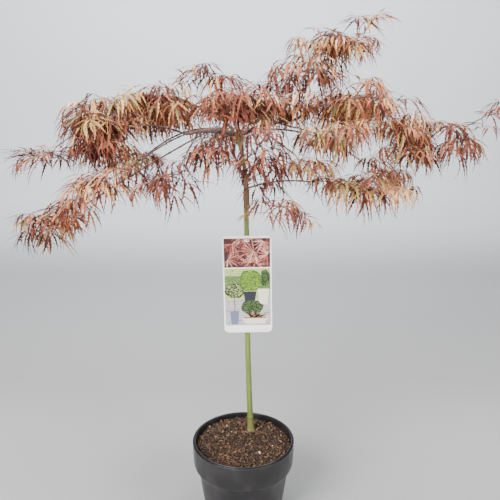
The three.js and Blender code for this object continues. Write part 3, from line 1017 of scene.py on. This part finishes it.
def curvePiece(name, paths):
    # paths are (points, radii)
    curve = bpy.data.curves.new(name, "CURVE")
    curve.dimensions = "3D"
    for points, radii in paths:
        spline = curve.splines.new("POLY")
        spline.points.add(len(points) - 1)
        for point, place, radius in zip(spline.points, points, radii):
            point.co = (*place, 1)
            point.radius = radius
    return newPiece(name, curve)


def shootRadius(load):
    return (0.42 + 0.2 * load ** 0.62) * mm


twigBark = plainMaterial("twigBark", (78, 36, 32), 0.6, Specular_IOR_Level=0.3)
leafStalk = plainMaterial("leafStalk", (126, 58, 46), 0.6, Specular_IOR_Level=0.3)
stalkRadii = [0.5 * mm, 0.42 * mm, 0.5 * mm]
sweepPlain = sweepTree("twigSweep")
for region in sprays:
    paths = []
    for shoot in shoots:
        if regionOf(shoot["mass"]) != region:
            continue
        thick, thin = shootRadius(shoot["load"]), shootRadius(1) * 0.9
        last = len(shoot["points"]) - 1
        paths.append((shoot["points"], [thick + (thin - thick) * (i / last) ** 0.7 for i in range(last + 1)]))
    source = curvePiece("twigPaths", paths)
    twigs = grown(f"twigs_{region}", source, sweepPlain, {"Sides": 6, "Bark": twigBark})
    source = curvePiece("stalkPaths", [(points, stalkRadii) for points in stalkPaths[region]])
    stalks = grown(f"stalks_{region}", source, sweepPlain, {"Sides": 5, "Bark": leafStalk})
    for piece in (twigs, stalks):
        piece.data.shade_smooth()
        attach(piece, "root")
print("stage: twigs")


# Stem and boughs, with the relief of their bark.
def boughBark():
    stops = tints((0.3, 46, 28, 26), (0.5, 78, 54, 48), (0.72, 120, 98, 86))
    material, _ = patchyMaterial("boughBark", (112, 88, 78), 0.75, (160, 5, 0.65), stops)
    tree = material.node_tree
    bumpFrom(tree, noiseOn(tree, 1100, 4, 0.6), 0.5, 0.0005)
    return material


def stemBark():
    # green below and above the graft, with the graft itself brown
    material = plainMaterial("stemBark", (122, 132, 84), 0.55)
    tree = material.node_tree
    where = add(tree, "ShaderNodeTexCoord").outputs["Object"]
    height = add(tree, "ShaderNodeSeparateXYZ", Vector=where).outputs["Z"]
    reach = add(tree, "ShaderNodeMapRange", From_Min=stemLow.z, From_Max=stemHigh.z, Value=height)
    bands = ramp(tree, reach.outputs["Result"], tints(
        (0.0, 104, 98, 56), (0.12, 100, 118, 50), (0.5, 116, 134, 58), (0.735, 104, 118, 58),
        (0.775, 112, 88, 60), (0.84, 118, 84, 58), (0.865, 88, 108, 50), (0.95, 96, 114, 54),
        (1.0, 116, 96, 62),
    ))
    streaks = noiseOn(tree, 420, 5, 0.6, (1, 1, 0.06))
    shade = ramp(tree, streaks, [(0.3, (0.62, 0.62, 0.62, 1)), (0.7, (1.18, 1.15, 1.08, 1))])
    mix = add(tree, "ShaderNodeMix", data_type="RGBA", blend_type="MULTIPLY", Factor=1, A=bands, B=shade)
    fill(tree, tree.nodes["Principled BSDF"].inputs["Base Color"], mix.outputs["Result"])
    bumpFrom(tree, noiseOn(tree, 900, 4, 0.6, (1, 1, 0.2)), 0.35, 0.0004)
    return material


# spacing of the swept rings, way between the rings where pairs of buds sat, how far those swell
barkSteps = {
    "bough": (1.5 * mm, 26 * mm, 0.3),
    "limb": (1.2 * mm, 24 * mm, 0.22),
    "stem": (1.2 * mm, 62 * mm, 0.11),
}


def barkPath(kind, points, radii, dice):
    spacing, every, swell = barkSteps[kind]
    points, radii = smoothPath(points, radii, spacing)
    lengths = [0.0]
    for i in range(1, len(points)):
        lengths.append(lengths[-1] + (points[i] - points[i - 1]).length)
    rings = []
    nextRing = every * dice.uniform(0.4, 1)
    for along in lengths:
        if along > nextRing:
            rings.append(along)
            nextRing += every * dice.uniform(0.7, 1.3)
    swollen = []
    for along, radius in zip(lengths, radii):
        bump = sum(math.exp(-(((along - ring) / wood["budRing"]) ** 2)) for ring in rings)
        swollen.append(radius * (1 + swell * bump))
    return points, swollen


dice = random.Random(wood["seed"])
boughPaths = []
for points, radii in boughs.values():
    boughPaths.append(barkPath("bough", points, [min(radius, wood["thickest"]) for radius in radii], dice))
for points, radii in limbs.values():
    boughPaths.append(barkPath("limb", points, radii, dice))
boughPiece = grown(
    "boughs", curvePiece("boughPaths", boughPaths), sweepTree("boughSweep"),
    {"Sides": 12, "Bark": boughBark(), "Relief": 1.3 * mm, "Grain": 420.0},
)
boughPiece.data.shade_smooth()
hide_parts(*boughs, *limbs)
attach(boughPiece, "root")

stemPiece = grown(
    "stem_bark", curvePiece("stemPath", [barkPath("stem", *stem, dice)]), sweepTree("stemSweep"),
    {"Sides": 28, "Bark": stemBark(), "Relief": 1.2 * mm, "Grain": 260.0},
)
stemPiece.data.shade_smooth()
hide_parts("stem")
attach(stemPiece, "root")

# Pruned stubs: where the stem was cut at the head, beside the graft, and a knob under it.
cutWood = plainMaterial("cutWood", (206, 196, 132), 0.7)
stubs = {
    "head": {
        "place": (-0.0085, 0.0372, 0.7165), "way": (-0.35, -0.55, 0.8),
        "radius": 5.2 * mm, "length": 4.5 * mm, "cut": True,
    },
    "besideGraft": {
        "place": (0.0075, 0.0375, 0.634), "way": (0.85, -0.45, 0.3),
        "radius": 3.2 * mm, "length": 7.5 * mm, "cut": True,
    },
    "graftKnob": {
        "place": (0.0075, 0.0365, 0.588), "way": (0.8, -0.55, -0.1),
        "radius": 3.6 * mm, "length": 5.2 * mm, "cut": False,
    },
}
# shares of the radius and the length, from inside the stem out to the end, and the first that is cut
stubRings = [(1.3, -0.9), (1.12, 0.15), (1.0, 0.6), (0.97, 0.86), (0.86, 0.98), (0.72, 1.0), (0.4, 0.96)]
stubCutFrom = 4
stubSides = 20


def stubPiece(name, stub):
    # a short round stub along its way, with a rounded edge and a slightly dished end
    turn = Vector(stub["way"]).to_track_quat("Z", "Y")
    points = [Vector((0, 0, stubRings[0][1]))]
    for out, along in stubRings:
        for point in circlePoints(1, along, stubSides):
            streak = Vector((point.x * 2, point.y * 2, along * 3)) + turn @ up * 5
            uneven = out * (1 + 0.06 * noise.noise(streak))
            points.append(Vector((point.x * uneven, point.y * uneven, along)))
    points.append(Vector((0, 0, 0.95 if stub["cut"] else 1.04)))
    stretch = Vector((stub["radius"], stub["radius"], stub["length"]))
    vertices = [Vector(stub["place"]) + turn @ (point * stretch) for point in points]
    marks = [0] * stubSides
    for ring in range(len(stubRings) - 1):
        marks += [int(stub["cut"] and ring >= stubCutFrom)] * stubSides
    marks += [int(stub["cut"])] * stubSides
    piece = meshPiece(name, vertices, skinFaces(len(stubRings), stubSides))
    piece.data.materials.append(stemPiece.data.materials[0])
    piece.data.materials.append(cutWood)
    piece.data.polygons.foreach_set("material_index", marks)
    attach(piece, "root")


for name, stub in stubs.items():
    stubPiece(f"stub_{name}", stub)
print("stage: stem and boughs", len(boughPiece.data.polygons), len(stemPiece.data.polygons))

# Label: a plain card with two printed pictures, made of thin flat shapes.
label = {
    "lean": math.radians(-1),
    "middle": 445 * mm,  # above the ground
    "halfWidth": 44 * mm,
    "border": 2.6 * mm,
    "leafPicture": (33.5 * mm, 87 * mm),  # its foot and top, from the card's middle
    "gardenPicture": (-77 * mm, 31.5 * mm),
    "layer": 0.06 * mm,
    "deck": 50 * mm,  # how high the planks reach in the garden picture
    "planks": 9,
    "blades": 120,
    "flecks": 260,
    "bushSides": 18,
    "fanLobes": 11,
    "seed": 4,
}
inks = {
    "inkWine": (74, 38, 38), "inkPlum": (112, 62, 58), "inkSalmon": (196, 128, 112),
    "inkPink": (222, 172, 154), "inkRose": (166, 92, 80), "inkHaze": (176, 188, 118),
    "inkHedge": (96, 120, 66), "inkDeepGreen": (38, 56, 32), "inkGreen": (72, 108, 40),
    "inkLime": (150, 180, 52), "inkDeck": (178, 172, 174), "inkPlank": (146, 140, 146),
    "inkSlate": (104, 110, 138), "inkInk": (44, 42, 52), "inkClay": (150, 98, 72), "inkSand": (226, 216, 196),
}
inkNames = list(inks)
inkMaterials = [plainMaterial(name, color, 0.3, Specular_IOR_Level=0.5) for name, color in inks.items()]
cardLow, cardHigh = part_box("label_card")
cardRight = Vector((math.cos(label["lean"]), 0, -math.sin(label["lean"])))
cardUp = Vector((math.sin(label["lean"]), 0, math.cos(label["lean"])))
cardMiddle = Vector(((cardLow.x + cardHigh.x) / 2, cardLow.y, label["middle"]))
prints = {"vertices": [], "faces": [], "inks": []}


def printShape(outline, ink, layer):
    # a flat shape, its outline anticlockwise as seen from the front
    first = len(prints["vertices"])
    lift = Vector((0, -(layer + 1) * label["layer"], 0))
    prints["vertices"] += [cardMiddle + cardRight * x + cardUp * z + lift for x, z in outline]
    prints["faces"].append(tuple(range(first, first + len(outline))))
    prints["inks"].append(inkNames.index(ink))


def printBox(left, right, foot, top, ink, layer):
    printShape([(left, foot), (right, foot), (right, top), (left, top)], ink, layer)


def printBlade(x, z, turn, length, width, ink, layer, clip):
    # one narrow printed leaf lobe, its outline held inside its picture
    ahead, side = (math.cos(turn), math.sin(turn)), (-math.sin(turn), math.cos(turn))
    outline = []
    for along, across in ((0, -0.2), (0.35, -1), (0.7, -0.7), (1, 0), (0.7, 0.7), (0.35, 1), (0, 0.2)):
        px = x + ahead[0] * along * length + side[0] * across * width
        pz = z + ahead[1] * along * length + side[1] * across * width
        outline.append((min(clip[1], max(clip[0], px)), min(clip[3], max(clip[2], pz))))
    printShape(outline, ink, layer)


def printBush(x, z, wide, high, ink, leaf, count, layer, dice):
    # a rough blob with flecks of a second ink
    outline = []
    for k in range(label["bushSides"]):
        turn = 2 * math.pi * k / label["bushSides"]
        rough = dice.uniform(0.86, 1.08)
        outline.append((x + wide * rough * math.cos(turn), z + high * rough * math.sin(turn)))
    printShape(outline, ink, layer)
    for _ in range(count):
        turn, out = dice.uniform(0, 2 * math.pi), math.sqrt(dice.random()) * 0.9
        px, pz = x + wide * out * math.cos(turn), z + high * out * math.sin(turn)
        size = dice.uniform(0.7, 1.7) * mm
        half = size * 0.6
        printShape([(px - size, pz), (px, pz - half), (px + size, pz), (px, pz + half)], leaf, layer + 1)


dice = random.Random(label["seed"])
pictureHalf = label["halfWidth"] - label["border"]
foot, top = label["leafPicture"]
printBox(-pictureHalf, pictureHalf, foot, top, "inkWine", 0)
clip = (-pictureHalf, pictureHalf, foot, top)
for _ in range(label["blades"]):
    x, z = dice.uniform(-pictureHalf, pictureHalf), dice.uniform(foot, top)
    ink = dice.choice(("inkPlum", "inkInk", "inkRose", "inkRose"))
    turn, length, width = dice.uniform(0, 2 * math.pi), dice.uniform(9, 18) * mm, dice.uniform(0.7, 1.4) * mm
    printBlade(x, z, turn, length, width, ink, 1, clip)
leafFans = (  # x, z, reach and way of each printed leaf
    (-26, 44, 30, -1.2), (30, 48, 28, -2.0), (-34, 16, 26, -0.4), (36, 22, 30, 2.9),
    (2, 8, 24, 2.0), (-10, 50, 26, -1.6), (18, 6, 22, 1.2), (12, 30, 44, -2.7),
)
for x, z, reach, way in leafFans:
    for k in range(label["fanLobes"]):
        aside = k - label["fanLobes"] // 2
        turn = way + 0.36 * aside + dice.uniform(-0.12, 0.12)
        ink = dice.choice(("inkSalmon", "inkPink", "inkRose", "inkSalmon", "inkPlum"))
        length = reach * mm * (1 - 0.06 * abs(aside)) * dice.uniform(0.8, 1.05)
        printBlade(x * mm, foot + z * mm, turn, length, dice.uniform(0.7, 1.5) * mm, ink, 2 + k % 2, clip)

foot, top = label["gardenPicture"]
printBox(-pictureHalf, pictureHalf, foot, top, "inkHaze", 0)
printBox(-pictureHalf, pictureHalf, top - 40 * mm, top - 14 * mm, "inkHedge", 1)
printBox(-pictureHalf, pictureHalf, foot, foot + label["deck"], "inkDeck", 1)
for k in range(label["planks"]):
    height = foot + (3 + 5.4 * k) * mm
    printBox(-pictureHalf, pictureHalf, height, height + 0.7 * mm, "inkPlank", 2)
hedgeFlecks = ("inkDeepGreen", "inkLime", "inkGreen")
deckFlecks = ("inkPlank", "inkSand", "inkSlate")
for _ in range(label["flecks"]):
    x, z = dice.uniform(-pictureHalf, pictureHalf - 4 * mm), dice.uniform(foot, top - 4 * mm)
    size = dice.uniform(1, 4) * mm
    ink = dice.choice(hedgeFlecks if z > foot + label["deck"] else deckFlecks)
    printBox(x, x + size, z, z + size * 0.4, ink, 2)
printBush(6 * mm, top - 23 * mm, 21 * mm, 22 * mm, "inkGreen", "inkLime", 240, 3, dice)
printBush(32 * mm, top - 18 * mm, 9 * mm, 17 * mm, "inkDeepGreen", "inkHedge", 90, 3, dice)
printBush(-24 * mm, top - 42 * mm, 17 * mm, 15 * mm, "inkDeepGreen", "inkHaze", 170, 4, dice)
printBox(-25 * mm, -23 * mm, foot + 26 * mm, top - 56 * mm, "inkClay", 3)
pots = (  # left, right, foot, height, ink, layer
    (-33, -16, 2, 26, "inkSlate", 4), (-8, 16, 45, 20, "inkInk", 3), (18, 39, 40, 30, "inkSand", 4),
    (-12, 37, 3, 13, "inkSand", 6),
)
for left, right, low, high, ink, layer in pots:
    inset = 0.14 * (right - left)
    corners = ((left + inset, low), (right - inset, low), (right, low + high), (left, low + high))
    printShape([(x * mm, foot + z * mm) for x, z in corners], ink, layer)
printBush(8 * mm, foot + 34 * mm, 21 * mm, 15 * mm, "inkDeepGreen", "inkHedge", 170, 4, dice)
printBox(-9 * mm, 34 * mm, foot + 13.5 * mm, foot + 16 * mm, "inkClay", 7)
clip = (-pictureHalf, pictureHalf, foot, top)
for _ in range(30):
    turn = dice.uniform(0.1, 0.9) * math.pi
    ink = dice.choice(("inkPlum", "inkWine", "inkSalmon", "inkHaze"))
    x, length = dice.uniform(2, 24) * mm, dice.uniform(9, 19) * mm
    printBlade(x, foot + 15 * mm, turn, length, 0.8 * mm, ink, 7, clip)
picture = meshPiece("label_picture", prints["vertices"], prints["faces"], None, False)
for material in inkMaterials:
    picture.data.materials.append(material)
picture.data.polygons.foreach_set("material_index", prints["inks"])
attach(picture, "root")

cardStops = tints((0.3, 240, 240, 237), (0.7, 248, 248, 246))
cardWhite, _ = patchyMaterial("cardWhite", (246, 246, 243), 0.3, (60, 4, 0.6), cardStops)
for name in ("label_card", "label_strap"):
    nodes[name].data.materials.clear()
    nodes[name].data.materials.append(cardWhite)
print("stage: label", len(prints["faces"]))

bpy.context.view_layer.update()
